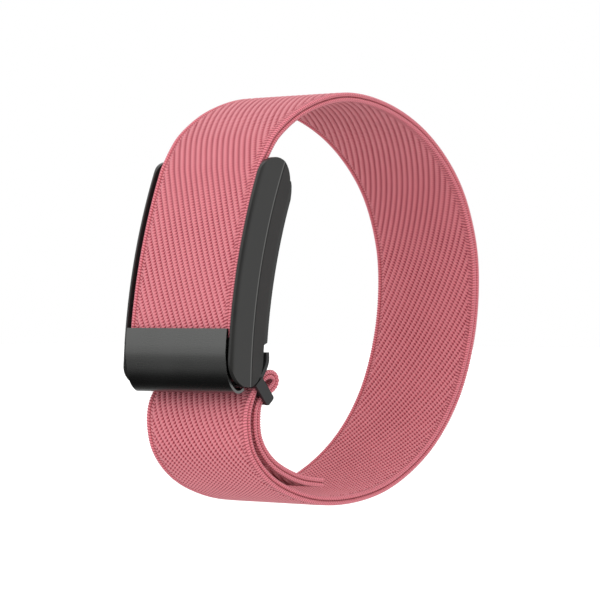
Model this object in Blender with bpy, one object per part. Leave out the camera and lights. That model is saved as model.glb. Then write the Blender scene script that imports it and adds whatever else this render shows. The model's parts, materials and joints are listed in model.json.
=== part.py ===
"""Fitness tracker band: a screenless sensor pod held in a woven loop strap by a fold-over clasp.

Frame: X runs along the wrist (the width of the band), -Y is the outer face of the pod,
+Z is up, and the origin is the middle of the loop.  Lengths below are millimetres and
angles are degrees; meshes are written in metres.
"""
from math import cos, exp, hypot, radians, sin

import bmesh
import bpy
from mathutils import Matrix, Vector

MM = 0.001

# ---------------------------------------------------------------- driving dimensions

BAND_WIDTH = 24.6
BAND_THICKNESS = 1.6
BAND_PINCHED = 1.0           # thickness where the slots of the clasp frame squeeze the band

POD_MIDDLE_Y = -26.13        # where the parting line of the pod crosses the middle of its length
POD_MIDDLE_Z = 5.06
POD_TILT = 12.87             # how far the top of the pod leans in over the wrist
PARTING_RADIUS = 100.15      # the pod is curved along its length to follow the wrist
POD_HALF_LENGTH = 20.93
POD_HALF_WIDTH = 13.6

# Heights of the pod's surfaces above its parting line (outwards is positive).
RAIL_TOP = 5.6
CHANNEL_FLOOR = 3.25
CAVITY_TOP = 2.35
RIDGE = 0.38                 # the side walls lean in on both sides of this height
PARTING = 0.05               # where the outer cover ends
PARTING_GAP = 0.1
CAVITY_BOTTOM = -2.85
SKIN_FACE = -3.75
SENSOR_FACE = -5.25

CHANNEL_HALF_WIDTH = 12.7    # between the two side rails
CAVITY_HALF_WIDTH = 12.0
CORE_LOW = -19.96            # the pod between its rails stops short of the rail ends
CORE_HIGH = 20.5
SKIN_EDGE_HALF_WIDTH = 12.75
SENSOR_HALF_WIDTH = 12.15
PAD_GROOVE = 0.3             # width and depth of the groove on both sides of the sensor pad
SENSOR_LOW = -12.5
SENSOR_HIGH = 15.8
PAD_CROWN = ((17.2, -4.95), (18.3, -4.55), (18.95, -4.15), (19.2, -3.5))
PAD_SLOPE = 0.9
PAD_ROOT = -3.3              # the pad is rooted this deep in the skin-side cover
PAD_END_ROOT = -1.4
WINDOW_MIDDLE = 1.65
WINDOW_HALF = 8.0

COVER_HALF_WIDTH = 12.35
COVER_OUTER = 6.0            # height of the clasp cover's outer face above the parting line
COVER_SHEET = 0.5
COVER_TOP = -11.05           # where along the pod the cover's upper edge lies

HINGE_Y = -28.9
HINGE_Z = -15.8
PIN_RADIUS = 0.3
KNUCKLE_BORE = 0.45
KNUCKLE_RADIUS = 0.75
KNUCKLE_SPLIT = 5.0          # the cover's knuckle is inside this, the frame's are outside
KNUCKLE_END = 8.0

FRAME_TOP_Y = -26.24         # middle of the top edge of the frame's side plates
FRAME_TOP_Z = -14.67
FRAME_SLOPE = 49.5           # how far the frame points down, towards the wrist
FRAME_LENGTH = 5.0
FRAME_DEPTH = 2.28
FRAME_HALF_WIDTH = 13.15
FRAME_CHEEK = 0.55
SLOT_WIDTH = 1.6
TOP_BAR = 0.45
MIDDLE_BAR = 0.9

GAP = 0.3                    # clearance between pieces that touch
FINE_GAP = 0.15              # clearance between small electronic pieces

CORE_CORNER = 3.0
RAIL_CORNER_ACROSS = 0.7
RAIL_CORNER_DEEP = 1.1
SEAL_HALF_WIDTH = 12.85
SEAL_HALF_LENGTH = 19.6
SEAL_SECTION = 0.5
SEAL_BOTTOM = -0.55
CHEEK_CORNER = 0.5
BAR_HALF_DEPTH = 0.75
HOOK_SHEET = 0.75
HOOK_HALF_WIDTH = 12.9
COVER_BEND = -15.15          # where along the pod the cover starts to curl
STRAP_END = -12.45
STRAP_LEAVES_POD = 18.05

SLOT_ONE = TOP_BAR + SLOT_WIDTH / 2
SLOT_TWO = SLOT_ONE + SLOT_WIDTH + MIDDLE_BAR

# Optical sensor, seen from the skin.
WINDOW_FACE = -5.3
WINDOW_THICKNESS = 1.0
DIODE_TOP = -2.8
DIODE_WIDTH = 3.0
DIODE_LENGTH = 2.4
DIODE_PLACES = ((-5.2, 0.0), (5.2, 0.0), (0.0, -5.2), (0.0, 5.2))
SENSOR_CHIP_HEIGHT = 0.6
WELL_MARGIN = 0.4            # a well is this much wider than the chip in it
BARRIER_INSET = 0.2
LED_SIZE = (1.3, 1.1)
LED_SPACING = 1.8
LED_ROW = 0.9                # the two rows of light sources, above and below the middle
RED_HALF_SPACING = 1.0
LED_WELL_WIDTH = 5.6
LED_WELL_LENGTH = 3.8
SENSOR_BOARD_HALF = 7.4
CONTACT_ALONG = 12.9
CONTACT_RADIUS = 1.2
CONTACT_INSET = 0.05
CONTACT_LENGTH = 2.2

# Electronics.
BOARD_BOTTOM = -1.7
BOARD_THICKNESS = 0.5
BOARD_TOP = BOARD_BOTTOM + BOARD_THICKNESS
BOARD_HALF_WIDTH = 11.4
BOARD_HALF_LENGTH = 17.5
CHIP_HEIGHT = 0.9
BATTERY_HALF_WIDTH = 10.6
BATTERY_LOW = -7.5
BATTERY_HIGH = 16.5
BATTERY_BOTTOM = BOARD_TOP + 0.25
BATTERY_TOP = 1.0
COIL_ALONG = 4.5
COIL_RADIUS = 7.0
COIL_HOLE_RADIUS = 3.4
COIL_THICKNESS = 0.3
SHIELD_HALF = 7.6
SHIELD_THICKNESS = 0.2
ANTENNA_HALF_WIDTH = 9.5
ANTENNA_ALONG = (17.9, 18.8)
ANTENNA_HEIGHTS = (-0.7, 0.2)
MOTOR_X = 7.3
MOTOR_ALONG = -13.4
MOTOR_BASE = -1.05
MOTOR_RADIUS = 4.0
MOTOR_PLATE = 0.3
MOTOR_STEP = 0.1             # clearance between the motor's plate and the parts on it
CAN_HEIGHT = 2.3
CAN_WALL = 0.25
SHAFT_RADIUS = 0.3
SHAFT_LENGTH = 1.7
ROTOR_LIFT = 0.7
ROTOR_THICKNESS = 1.1
ROTOR_CLEARANCE = 0.65       # between the weight's rim and the can's outside
ROTOR_HUB_RADIUS = 0.85
ROTOR_BORE_RADIUS = 0.45

# The band where the frame squeezes it, and the bar on its end.
SLOT_REACH = 0.9
PINCH_REACH = 2.2
END_BAR_HALF_LENGTH = 12.0
END_BAR_DEPTH = 1.3
END_BAR_CLEARANCE = 0.4

# Hand-placed (y, z) points of the side view.
HOOK_PATH = ((-23.66, -9.5), (-23.62, -10.8), (-23.9, -11.8), (-24.5, -12.8), (-25.55, -14.3))
ARM_OUTLINE = ((-26.3, -14.75), (-28.9, -15.05), (-28.9, -15.8), (-26.9, -15.5))
COVER_CURL = ((-33.97, -11.2), (-33.55, -13.6), (-32.7, -15.35), (-31.4, -16.42),
              (-30.3, -16.42), (-29.48, -15.95))
LOOP_ROUTE = ((-21.95, 27.8), (-19.85, 30.1), (-12.65, 34.6), (-0.95, 37.65), (12.25, 36.1),
              (24.0, 30.8), (33.2, 22.0), (37.9, 11.3), (38.7, 2.0), (37.05, -8.3),
              (32.3, -19.1), (24.0, -28.2), (11.75, -34.85), (-1.0, -37.1), (-12.25, -36.15),
              (-22.0, -32.35), (-26.9, -27.4), (-28.2, -22.3), (-27.75, -19.2), (-26.95, -17.6))
FOLD_ROUTE = ((-23.6, -13.95), (-22.4, -13.42), (-21.1, -13.62), (-20.4, -14.4),
              (-20.75, -15.35), (-21.8, -16.15))
TAIL_ROUTE = ((-25.3, -19.4), (-25.55, -21.2), (-25.55, -22.9), (-25.15, -24.85), (-24.15, -26.7),
              (-22.6, -28.45), (-20.6, -29.95), (-18.1, -31.2), (-15.65, -32.15), (-12.5, -33.0),
              (-7.0, -33.7))

MATERIALS = {
    "knit": ((0.60, 0.19, 0.22), 0.85, 0.0),
    "pod_plastic": ((0.055, 0.055, 0.052), 0.42, 0.0),
    "frame_plastic": ((0.045, 0.045, 0.045), 0.5, 0.0),
    "cover_metal": ((0.10, 0.10, 0.10), 0.36, 0.9),
    "pin_steel": ((0.55, 0.55, 0.55), 0.3, 1.0),
    "window_glass": ((0.012, 0.012, 0.014), 0.08, 0.0),
    "seal_rubber": ((0.02, 0.02, 0.02), 0.7, 0.0),
    "board": ((0.02, 0.10, 0.05), 0.5, 0.0),
    "chip": ((0.03, 0.03, 0.03), 0.45, 0.0),
    "battery_foil": ((0.62, 0.62, 0.64), 0.35, 0.8),
    "copper": ((0.72, 0.34, 0.18), 0.35, 1.0),
    "ferrite": ((0.06, 0.06, 0.065), 0.6, 0.0),
    "led_green": ((0.35, 0.85, 0.40), 0.25, 0.0),
    "led_red": ((0.80, 0.12, 0.10), 0.25, 0.0),
    "silicon": ((0.07, 0.06, 0.12), 0.2, 0.0),
}

# ---------------------------------------------------------------- scene and materials


def clear_scene():
    for item in list(bpy.data.objects):
        bpy.data.objects.remove(item, do_unlink=True)


def make_material(name):
    colour, roughness, metallic = MATERIALS[name]
    made = bpy.data.materials.get(name)
    if made is None:
        made = bpy.data.materials.new(name)
        made.use_nodes = True
        shader = made.node_tree.nodes["Principled BSDF"]
        shader.inputs["Base Color"].default_value = (*colour, 1.0)
        shader.inputs["Roughness"].default_value = roughness
        shader.inputs["Metallic"].default_value = metallic
    return made


def add_piece(name, mesh, material, origin=(0.0, 0.0, 0.0)):
    """Link a mesh as a named piece whose own origin is at the given point, in millimetres."""
    place = Vector(origin) * MM
    mesh.transform(Matrix.Translation(-place))
    mesh.name = name
    mesh.shade_smooth()
    mesh.set_sharp_from_angle(angle=radians(35))
    piece = bpy.data.objects.new(name, mesh)
    piece.location = place
    bpy.context.scene.collection.objects.link(piece)
    mesh.materials.clear()
    mesh.materials.append(make_material(material))
    return piece


# ---------------------------------------------------------------- mesh building


def mesh_from(vertices, faces):
    """A closed mesh in metres from millimetre points, with its faces pointing out."""
    build = bmesh.new()
    made = [build.verts.new(Vector(point) * MM) for point in vertices]
    for face in faces:
        build.faces.new([made[index] for index in face])
    bmesh.ops.recalc_face_normals(build, faces=build.faces)
    mesh = bpy.data.meshes.new("piece")
    build.to_mesh(mesh)
    build.free()
    return mesh


def loft(rings):
    """Join equal rings of points in order and close both ends."""
    count = len(rings[0])
    vertices = [point for ring in rings for point in ring]
    faces = []
    for step in range(len(rings) - 1):
        low = step * count
        for index in range(count):
            after = (index + 1) % count
            faces.append((low + index, low + after, low + count + after, low + count + index))
    faces.append(tuple(range(count)))
    faces.append(tuple(range((len(rings) - 1) * count, len(rings) * count)))
    return mesh_from(vertices, faces)


def boolean(base, tool, operation):
    """Evaluate one Boolean between two meshes and return the result."""
    body = bpy.data.objects.new("body", base)
    cutter = bpy.data.objects.new("cutter", tool)
    for item in (body, cutter):
        bpy.context.scene.collection.objects.link(item)
    modifier = body.modifiers.new("cut", "BOOLEAN")
    modifier.solver = "EXACT"
    modifier.operation = operation
    modifier.object = cutter
    graph = bpy.context.evaluated_depsgraph_get()
    result = bpy.data.meshes.new_from_object(body.evaluated_get(graph))
    for item in (body, cutter):
        bpy.data.objects.remove(item, do_unlink=True)
    return result


def extrude_side(outline, x_low, x_high):
    """Extrude a side view outline of (y, z) points across the band."""
    return loft([[(x, y, z) for y, z in outline] for x in (x_low, x_high)])


def smooth_path(points, steps):
    """A centripetal Catmull-Rom curve through hand-placed points."""
    first = (2 * points[0][0] - points[1][0], 2 * points[0][1] - points[1][1])
    last = (2 * points[-1][0] - points[-2][0], 2 * points[-1][1] - points[-2][1])
    guide = [Vector(point) for point in (first, *points, last)]
    path = []
    for index in range(1, len(guide) - 2):
        corners = guide[index - 1:index + 3]
        knots = [0.0]
        for left, right in zip(corners, corners[1:]):
            knots.append(knots[-1] + (right - left).length ** 0.5)
        for step in range(steps):
            place = knots[1] + (knots[2] - knots[1]) * step / steps
            lower = [between(corners, knots, place, low, low + 1) for low in range(3)]
            middle = [lower[low].lerp(lower[low + 1], share(knots, place, low, low + 2))
                      for low in range(2)]
            path.append(tuple(middle[0].lerp(middle[1], share(knots, place, 1, 2))))
    path.append(tuple(points[-1]))
    return path


def share(knots, place, low, high):
    return (place - knots[low]) / (knots[high] - knots[low])


def between(corners, knots, place, low, high):
    return corners[low].lerp(corners[high], share(knots, place, low, high))


def ribbon(path, half_thicknesses):
    """The closed outline of a strip that follows a path of (y, z) points."""
    left = []
    right = []
    for index, (y, z) in enumerate(path):
        before = path[max(index - 1, 0)]
        after = path[min(index + 1, len(path) - 1)]
        along_y = after[0] - before[0]
        along_z = after[1] - before[1]
        length = hypot(along_y, along_z)
        half = half_thicknesses[index]
        left.append((y - along_z / length * half, z + along_y / length * half))
        right.append((y + along_z / length * half, z - along_y / length * half))
    return left + right[::-1]


# ---------------------------------------------------------------- the pod's curved frame

POD_AXIS_Y = POD_MIDDLE_Y + PARTING_RADIUS * cos(radians(POD_TILT))
POD_AXIS_Z = POD_MIDDLE_Z - PARTING_RADIUS * sin(radians(POD_TILT))


def pod_angle(along):
    return radians(POD_TILT) + along / PARTING_RADIUS


def pod_side(along, height):
    """The (y, z) place of a point along the pod and above its parting line."""
    angle = pod_angle(along)
    radius = PARTING_RADIUS + height
    return (POD_AXIS_Y - radius * cos(angle), POD_AXIS_Z + radius * sin(angle))


def pod_point(x, along, height):
    return (x, *pod_side(along, height))


def pod_frame(x, along, height):
    """Local axes on the pod: X across, Y along its length, Z outwards."""
    angle = pod_angle(along)
    across = Vector((1.0, 0.0, 0.0))
    lengthwise = Vector((0.0, sin(angle), cos(angle)))
    outward = Vector((0.0, -cos(angle), sin(angle)))
    turn = Matrix((across, lengthwise, outward)).transposed().to_4x4()
    return Matrix.Translation(Vector(pod_point(x, along, height)) * MM) @ turn


def arc(middle, radius, start, end, steps):
    """Points on a circle from one angle in degrees to another."""
    points = []
    for step in range(steps + 1):
        angle = radians(start + (end - start) * step / steps)
        points.append((middle[0] + radius * cos(angle), middle[1] + radius * sin(angle)))
    return points


def divided(start, end, longest=2.2):
    """Intermediate points of a straight side, so that it bends with the pod."""
    count = max(1, round(abs(end[0] - start[0]) / longest))
    return [(start[0] + (end[0] - start[0]) * step / count,
             start[1] + (end[1] - start[1]) * step / count) for step in range(1, count)]


def pill_outline(low, high, bottom, top, radius, steps=8):
    """A side view with round ends, bent to the pod's curve."""
    corners = [((high - radius, top - radius), 0, 90), ((low + radius, top - radius), 90, 180),
               ((low + radius, bottom + radius), 180, 270),
               ((high - radius, bottom + radius), 270, 360)]
    flat = []
    for index, (middle, start, end) in enumerate(corners):
        turned = arc(middle, radius, start, end, steps)
        if flat and hypot(flat[-1][0] - turned[0][0], flat[-1][1] - turned[0][1]) > 0.01:
            flat += divided(flat[-1], turned[0])
        elif flat:
            turned = turned[1:]
        flat += turned
        if index == len(corners) - 1 and hypot(flat[-1][0] - flat[0][0], flat[-1][1] - flat[0][1]) < 0.01:
            flat.pop()
    return [pod_side(along, height) for along, height in flat]


def swept_section(section, low, high, longest=2.2):
    """Sweep a cross-section of (x, height) points along the pod."""
    count = max(1, round((high - low) / longest))
    rings = []
    for step in range(count + 1):
        along = low + (high - low) * step / count
        rings.append([pod_point(x, along, height) for x, height in section])
    return loft(rings)


def bent_block(x_low, x_high, low, high, bottom, top):
    """A rectangular block that follows the pod's curve."""
    section = [(x_low, bottom), (x_high, bottom), (x_high, top), (x_low, top)]
    return swept_section(section, low, high)


def flat_block(middle, size):
    """A flat block on the pod's local axes, with its bottom at the given point."""
    build = bmesh.new()
    lift = Matrix.Translation((0.0, 0.0, size[2] / 2 * MM))
    shape = Matrix.Diagonal((*[value * MM for value in size], 1.0))
    bmesh.ops.create_cube(build, size=1.0, matrix=pod_frame(*middle) @ lift @ shape)
    return finish_build(build)


def flat_disc(middle, radius, thickness, segments=32):
    """A flat disc on the pod's local axes, with its bottom at the given point."""
    build = bmesh.new()
    lift = Matrix.Translation((0.0, 0.0, thickness / 2 * MM))
    bmesh.ops.create_cone(build, cap_ends=True, segments=segments, radius1=radius * MM,
                          radius2=radius * MM, depth=thickness * MM,
                          matrix=pod_frame(*middle) @ lift)
    return finish_build(build)


def rod(y, z, radius, x_low, x_high, segments=20):
    """A round bar along X."""
    return extrude_side(arc((y, z), radius, 0, 360, segments)[:-1], x_low, x_high)


def finish_build(build):
    bmesh.ops.recalc_face_normals(build, faces=build.faces)
    mesh = bpy.data.meshes.new("piece")
    build.to_mesh(mesh)
    build.free()
    return mesh


# ---------------------------------------------------------------- sensor pod


def side_half_width(height):
    """Half the pod's width at a height below its ridge, where the sides lean in."""
    share = (RIDGE - height) / (RIDGE - SKIN_FACE)
    return POD_HALF_WIDTH + (SKIN_EDGE_HALF_WIDTH - POD_HALF_WIDTH) * share


def pod_hull(section):
    """The pod's round-ended side view, limited to one cross-section."""
    radius = (RAIL_TOP - SKIN_FACE) / 2
    outline = pill_outline(-POD_HALF_LENGTH, POD_HALF_LENGTH, SKIN_FACE, RAIL_TOP, radius, steps=9)
    side = extrude_side(outline, -POD_HALF_WIDTH - 1.0, POD_HALF_WIDTH + 1.0)
    bar = swept_section(section, -POD_HALF_LENGTH - 1.5, POD_HALF_LENGTH + 1.5)
    return boolean(bar, side, "INTERSECT")


def pod_cavity():
    """The space inside both covers, open between them."""
    radius = (CAVITY_TOP - CAVITY_BOTTOM) / 2 - 0.1
    outline = pill_outline(CORE_LOW + 1.0, CORE_HIGH - 1.0, CAVITY_BOTTOM, CAVITY_TOP, radius, steps=6)
    return extrude_side(outline, -CAVITY_HALF_WIDTH, CAVITY_HALF_WIDTH)


def outside_core():
    """What lies beyond the ends and the floor of the pod between its rails."""
    outline = pill_outline(CORE_LOW, CORE_HIGH, SKIN_FACE, CHANNEL_FLOOR, CORE_CORNER)
    core = extrude_side(outline, -CHANNEL_HALF_WIDTH - 1.0, CHANNEL_HALF_WIDTH + 1.0)
    reach = POD_HALF_LENGTH + 2.0
    space = bent_block(-CHANNEL_HALF_WIDTH, CHANNEL_HALF_WIDTH, -reach, reach,
                       SKIN_FACE - 1.0, RAIL_TOP + 1.0)
    return boolean(space, core, "DIFFERENCE")


def make_outer_cover():
    """The outer cover: a floor for the strap between two side rails with rounded edges."""
    rounded = [(POD_HALF_WIDTH - RAIL_CORNER_ACROSS * (1 - x),
                RAIL_TOP - RAIL_CORNER_DEEP * (1 - height))
               for x, height in arc((0.0, 0.0), 1.0, 0, 90, 6)]
    right = [(side_half_width(PARTING), PARTING), (POD_HALF_WIDTH, RIDGE), *rounded]
    left = [(-x, height) for x, height in reversed(right)]
    shell = pod_hull(right + left)
    shell = boolean(shell, outside_core(), "DIFFERENCE")
    shell = boolean(shell, pod_cavity(), "DIFFERENCE")
    add_piece("pod_outer_cover", shell, "pod_plastic")


def sensor_pad():
    """The raised pad round the sensor window, with a short lower slope and a long upper one."""
    count = 14
    flat = [(SENSOR_LOW + (SENSOR_HIGH - SENSOR_LOW) * step / count, SENSOR_FACE, PAD_ROOT)
            for step in range(count + 1)]
    foot = (SENSOR_LOW - PAD_SLOPE, SKIN_FACE, PAD_ROOT)
    crown = [(along, face, PAD_END_ROOT) for along, face in PAD_CROWN]
    return loft([[pod_point(x, along, height) for x, height in
                  ((-SENSOR_HALF_WIDTH, root), (-SENSOR_HALF_WIDTH, face),
                   (SENSOR_HALF_WIDTH, face), (SENSOR_HALF_WIDTH, root))]
                 for along, face, root in (foot, *flat, *crown)])


def make_skin_cover():
    """The skin-side cover, with its sensor pad, window opening and gasket ledge."""
    top = PARTING - PARTING_GAP
    right = [(SKIN_EDGE_HALF_WIDTH, SKIN_FACE), (side_half_width(top), top)]
    left = [(-x, height) for x, height in reversed(right)]
    shell = pod_hull(right + left)
    shell = boolean(shell, outside_core(), "DIFFERENCE")
    shell = boolean(shell, sensor_pad(), "UNION")
    for side in (-1, 1):
        ends = sorted((side * SENSOR_HALF_WIDTH, side * (SENSOR_HALF_WIDTH + PAD_GROOVE)))
        groove = bent_block(*ends, SENSOR_LOW, SENSOR_HIGH, SKIN_FACE - 1.0, SKIN_FACE + PAD_GROOVE)
        shell = boolean(shell, groove, "DIFFERENCE")
    shell = boolean(shell, pod_cavity(), "DIFFERENCE")
    ledge_half_width = SEAL_HALF_WIDTH + GAP
    ledge_half_length = SEAL_HALF_LENGTH + GAP
    ledge = bent_block(-ledge_half_width, ledge_half_width, -ledge_half_length,
                       ledge_half_length, SEAL_BOTTOM - GAP, 1.0)
    shell = boolean(shell, ledge, "DIFFERENCE")
    side = 2 * (WINDOW_HALF + GAP)
    opening = flat_block((0.0, WINDOW_MIDDLE, SENSOR_FACE - 2.0), (side, side, 6.0))
    shell = boolean(shell, opening, "DIFFERENCE")
    bore = flat_disc((0.0, CONTACT_ALONG, SENSOR_FACE - 2.0), CONTACT_RADIUS + FINE_GAP, 6.0)
    shell = boolean(shell, bore, "DIFFERENCE")
    add_piece("pod_skin_cover", shell, "pod_plastic")


def make_gasket():
    """The square-section seal that lies on the ledge between the two covers."""
    top = PARTING - GAP
    outer = bent_block(-SEAL_HALF_WIDTH, SEAL_HALF_WIDTH, -SEAL_HALF_LENGTH,
                       SEAL_HALF_LENGTH, SEAL_BOTTOM, top)
    inner_width = SEAL_HALF_WIDTH - SEAL_SECTION
    inner_length = SEAL_HALF_LENGTH - SEAL_SECTION
    inner = bent_block(-inner_width, inner_width, -inner_length, inner_length,
                       SEAL_BOTTOM - 1.0, top + 1.0)
    add_piece("perimeter_gasket", boolean(outer, inner, "DIFFERENCE"), "seal_rubber")


# ---------------------------------------------------------------- optical sensor


def make_window():
    side = 2 * WINDOW_HALF
    plate = flat_block((0.0, WINDOW_MIDDLE, WINDOW_FACE), (side, side, WINDOW_THICKNESS))
    add_piece("sensor_window", plate, "window_glass")


def make_light_barrier():
    """The dark plate that keeps the light sources apart from the photodiodes."""
    side = 2 * (WINDOW_HALF - BARRIER_INSET)
    bottom = WINDOW_FACE + WINDOW_THICKNESS + FINE_GAP
    plate = flat_block((0.0, WINDOW_MIDDLE, bottom), (side, side, DIODE_TOP - bottom))
    wells = [((0.0, 0.0), (LED_WELL_WIDTH, LED_WELL_LENGTH))]
    wells += [(place, (DIODE_WIDTH + WELL_MARGIN, DIODE_LENGTH + WELL_MARGIN)) for place in DIODE_PLACES]
    for (x, along), (width, length) in wells:
        well = flat_block((x, WINDOW_MIDDLE + along, bottom - 1.0), (width, length, 4.0))
        plate = boolean(plate, well, "DIFFERENCE")
    add_piece("light_barrier", plate, "seal_rubber")


def make_sensor_board():
    side = 2 * SENSOR_BOARD_HALF
    board = flat_block((0.0, WINDOW_MIDDLE, DIODE_TOP + FINE_GAP), (side, side, BOARD_THICKNESS))
    add_piece("sensor_board", board, "board")


def make_light_sources():
    """Three green LEDs over a red and an infrared one, in the middle well."""
    lights = [("green_led_left", -LED_SPACING, LED_ROW, "led_green"),
              ("green_led_middle", 0.0, LED_ROW, "led_green"),
              ("green_led_right", LED_SPACING, LED_ROW, "led_green"),
              ("red_led", -RED_HALF_SPACING, -LED_ROW, "led_red"),
              ("infrared_led", RED_HALF_SPACING, -LED_ROW, "silicon")]
    for name, x, along, material in lights:
        place = (x, WINDOW_MIDDLE + along, DIODE_TOP - SENSOR_CHIP_HEIGHT)
        chip = flat_block(place, (*LED_SIZE, SENSOR_CHIP_HEIGHT))
        add_piece(name, chip, material)


def make_photodiodes():
    for number, (x, along) in enumerate(DIODE_PLACES, start=1):
        place = (x, WINDOW_MIDDLE + along, DIODE_TOP - SENSOR_CHIP_HEIGHT)
        chip = flat_block(place, (DIODE_WIDTH, DIODE_LENGTH, SENSOR_CHIP_HEIGHT))
        add_piece(f"photodiode_{number}", chip, "silicon")


def make_skin_contact():
    """The metal button that reads skin temperature through the sensor pad."""
    place = (0.0, CONTACT_ALONG, SENSOR_FACE + CONTACT_INSET)
    button = flat_disc(place, CONTACT_RADIUS, CONTACT_LENGTH, segments=24)
    add_piece("skin_temperature_contact", button, "pin_steel")


# ---------------------------------------------------------------- electronics


def make_main_board():
    board = bent_block(-BOARD_HALF_WIDTH, BOARD_HALF_WIDTH, -BOARD_HALF_LENGTH,
                       BOARD_HALF_LENGTH, BOARD_BOTTOM, BOARD_TOP)
    add_piece("main_board", board, "board")


def make_chips():
    """The packages at the lower end of the main board: place, width and length of each."""
    bottom = BOARD_TOP + FINE_GAP
    chips = [("processor_chip", -2.0, -13.2, 5.6, 5.6), ("memory_chip", -8.3, -10.6, 4.4, 3.4),
             ("radio_chip", -8.3, -15.0, 4.0, 4.0), ("motion_sensor_chip", 2.4, -9.1, 2.4, 1.9)]
    for name, x, along, width, length in chips:
        add_piece(name, flat_block((x, along, bottom), (width, length, CHIP_HEIGHT)), "chip")


def make_battery():
    cell = bent_block(-BATTERY_HALF_WIDTH, BATTERY_HALF_WIDTH, BATTERY_LOW, BATTERY_HIGH,
                      BATTERY_BOTTOM, BATTERY_TOP)
    add_piece("battery_cell", cell, "battery_foil")


def make_charging_coil():
    """The flat coil under the outer cover, with the ferrite sheet that backs it."""
    bottom = BATTERY_TOP + FINE_GAP
    top = bottom + SHIELD_THICKNESS
    sheet = bent_block(-SHIELD_HALF, SHIELD_HALF, COIL_ALONG - SHIELD_HALF,
                       COIL_ALONG + SHIELD_HALF, bottom, top)
    add_piece("coil_shield", sheet, "ferrite")
    coil = flat_disc((0.0, COIL_ALONG, top + FINE_GAP), COIL_RADIUS, COIL_THICKNESS, segments=40)
    middle = flat_disc((0.0, COIL_ALONG, bottom), COIL_HOLE_RADIUS, 2.0, segments=40)
    add_piece("charging_coil", boolean(coil, middle, "DIFFERENCE"), "copper")


def make_antenna():
    strip = bent_block(-ANTENNA_HALF_WIDTH, ANTENNA_HALF_WIDTH, *ANTENNA_ALONG, *ANTENNA_HEIGHTS)
    add_piece("antenna_strip", strip, "copper")


def make_motor():
    """The coin motor that buzzes: an off-centre weight turning on a shaft in a closed can."""
    plate_top = MOTOR_BASE + MOTOR_PLATE
    raised = (MOTOR_X, MOTOR_ALONG, plate_top + MOTOR_STEP)
    plate = flat_disc((MOTOR_X, MOTOR_ALONG, MOTOR_BASE), MOTOR_RADIUS, MOTOR_PLATE)
    add_piece("motor_base", plate, "pin_steel")
    add_piece("motor_shaft", flat_disc(raised, SHAFT_RADIUS, SHAFT_LENGTH, segments=16), "pin_steel")
    can = flat_disc(raised, MOTOR_RADIUS, CAN_HEIGHT)
    depth = CAN_HEIGHT + MOTOR_STEP - CAN_WALL
    hollow = flat_disc((MOTOR_X, MOTOR_ALONG, plate_top), MOTOR_RADIUS - CAN_WALL, depth)
    add_piece("motor_can", boolean(can, hollow, "DIFFERENCE"), "pin_steel")
    make_rotor(pod_frame(MOTOR_X, MOTOR_ALONG, MOTOR_BASE + ROTOR_LIFT))


def make_rotor(axes):
    """A half-disc weight on a hub, with its origin on the shaft."""
    outline = arc((0.0, 0.0), MOTOR_RADIUS - ROTOR_CLEARANCE, 0, 180, 16)
    outline += arc((0.0, 0.0), ROTOR_HUB_RADIUS, 180, 360, 8)
    rings = [[tuple(axes @ Vector((x * MM, y * MM, z * MM)) / MM) for x, y in outline]
             for z in (0.0, ROTOR_THICKNESS)]
    bore = flat_disc((MOTOR_X, MOTOR_ALONG, MOTOR_BASE), ROTOR_BORE_RADIUS, 3.0, segments=16)
    weight = boolean(loft(rings), bore, "DIFFERENCE")
    add_piece("motor_rotor", weight, "pin_steel", origin=axes.translation / MM)


# ---------------------------------------------------------------- clasp


def frame_side(down, through):
    """The (y, z) place of a point down the clasp frame's slope and through its depth."""
    slope = radians(FRAME_SLOPE)
    return (FRAME_TOP_Y + down * cos(slope) + through * sin(slope),
            FRAME_TOP_Z - down * sin(slope) + through * cos(slope))


def frame_block(x_half, down_low, down_high, through_low, through_high):
    corners = [(down_low, through_low), (down_high, through_low),
               (down_high, through_high), (down_low, through_high)]
    return extrude_side([frame_side(*corner) for corner in corners], -x_half, x_half)


def make_clasp_frame():
    """One moulding: two side plates with three bars, the skin-side hook and two knuckles."""
    half = FRAME_DEPTH / 2
    low = (FRAME_LENGTH - CHEEK_CORNER, -half + CHEEK_CORNER)
    high = (FRAME_LENGTH - CHEEK_CORNER, half - CHEEK_CORNER)
    outline = [(0.0, -half), *arc(low, CHEEK_CORNER, -90, 0, 4), *arc(high, CHEEK_CORNER, 0, 90, 4),
               (0.0, half)]
    frame = extrude_side([frame_side(*point) for point in outline], -FRAME_HALF_WIDTH,
                         FRAME_HALF_WIDTH)
    inside = FRAME_HALF_WIDTH - FRAME_CHEEK
    for slot in (SLOT_ONE, SLOT_TWO):
        cut = frame_block(inside, slot - SLOT_WIDTH / 2, slot + SLOT_WIDTH / 2, -3.0, 3.0)
        frame = boolean(frame, cut, "DIFFERENCE")
    for side in (-1, 1):
        relief = sorted((side * BAR_HALF_DEPTH, side * 3.0))
        cut = frame_block(inside, TOP_BAR, FRAME_LENGTH + 1.0, *relief)
        frame = boolean(frame, cut, "DIFFERENCE")
    hook = ribbon(smooth_path(HOOK_PATH, 3), [HOOK_SHEET / 2] * (3 * (len(HOOK_PATH) - 1) + 1))
    frame = boolean(frame, extrude_side(hook, -HOOK_HALF_WIDTH, HOOK_HALF_WIDTH), "UNION")
    for side in (-1, 1):
        ends = sorted((side * (KNUCKLE_SPLIT + FINE_GAP), side * KNUCKLE_END))
        frame = boolean(frame, extrude_side(ARM_OUTLINE, *ends), "UNION")
        frame = boolean(frame, rod(HINGE_Y, HINGE_Z, KNUCKLE_RADIUS, *ends), "UNION")
    bore = rod(HINGE_Y, HINGE_Z, KNUCKLE_BORE, -KNUCKLE_END - 1.0, KNUCKLE_END + 1.0)
    add_piece("clasp_frame", boolean(frame, bore, "DIFFERENCE"), "frame_plastic")


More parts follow.
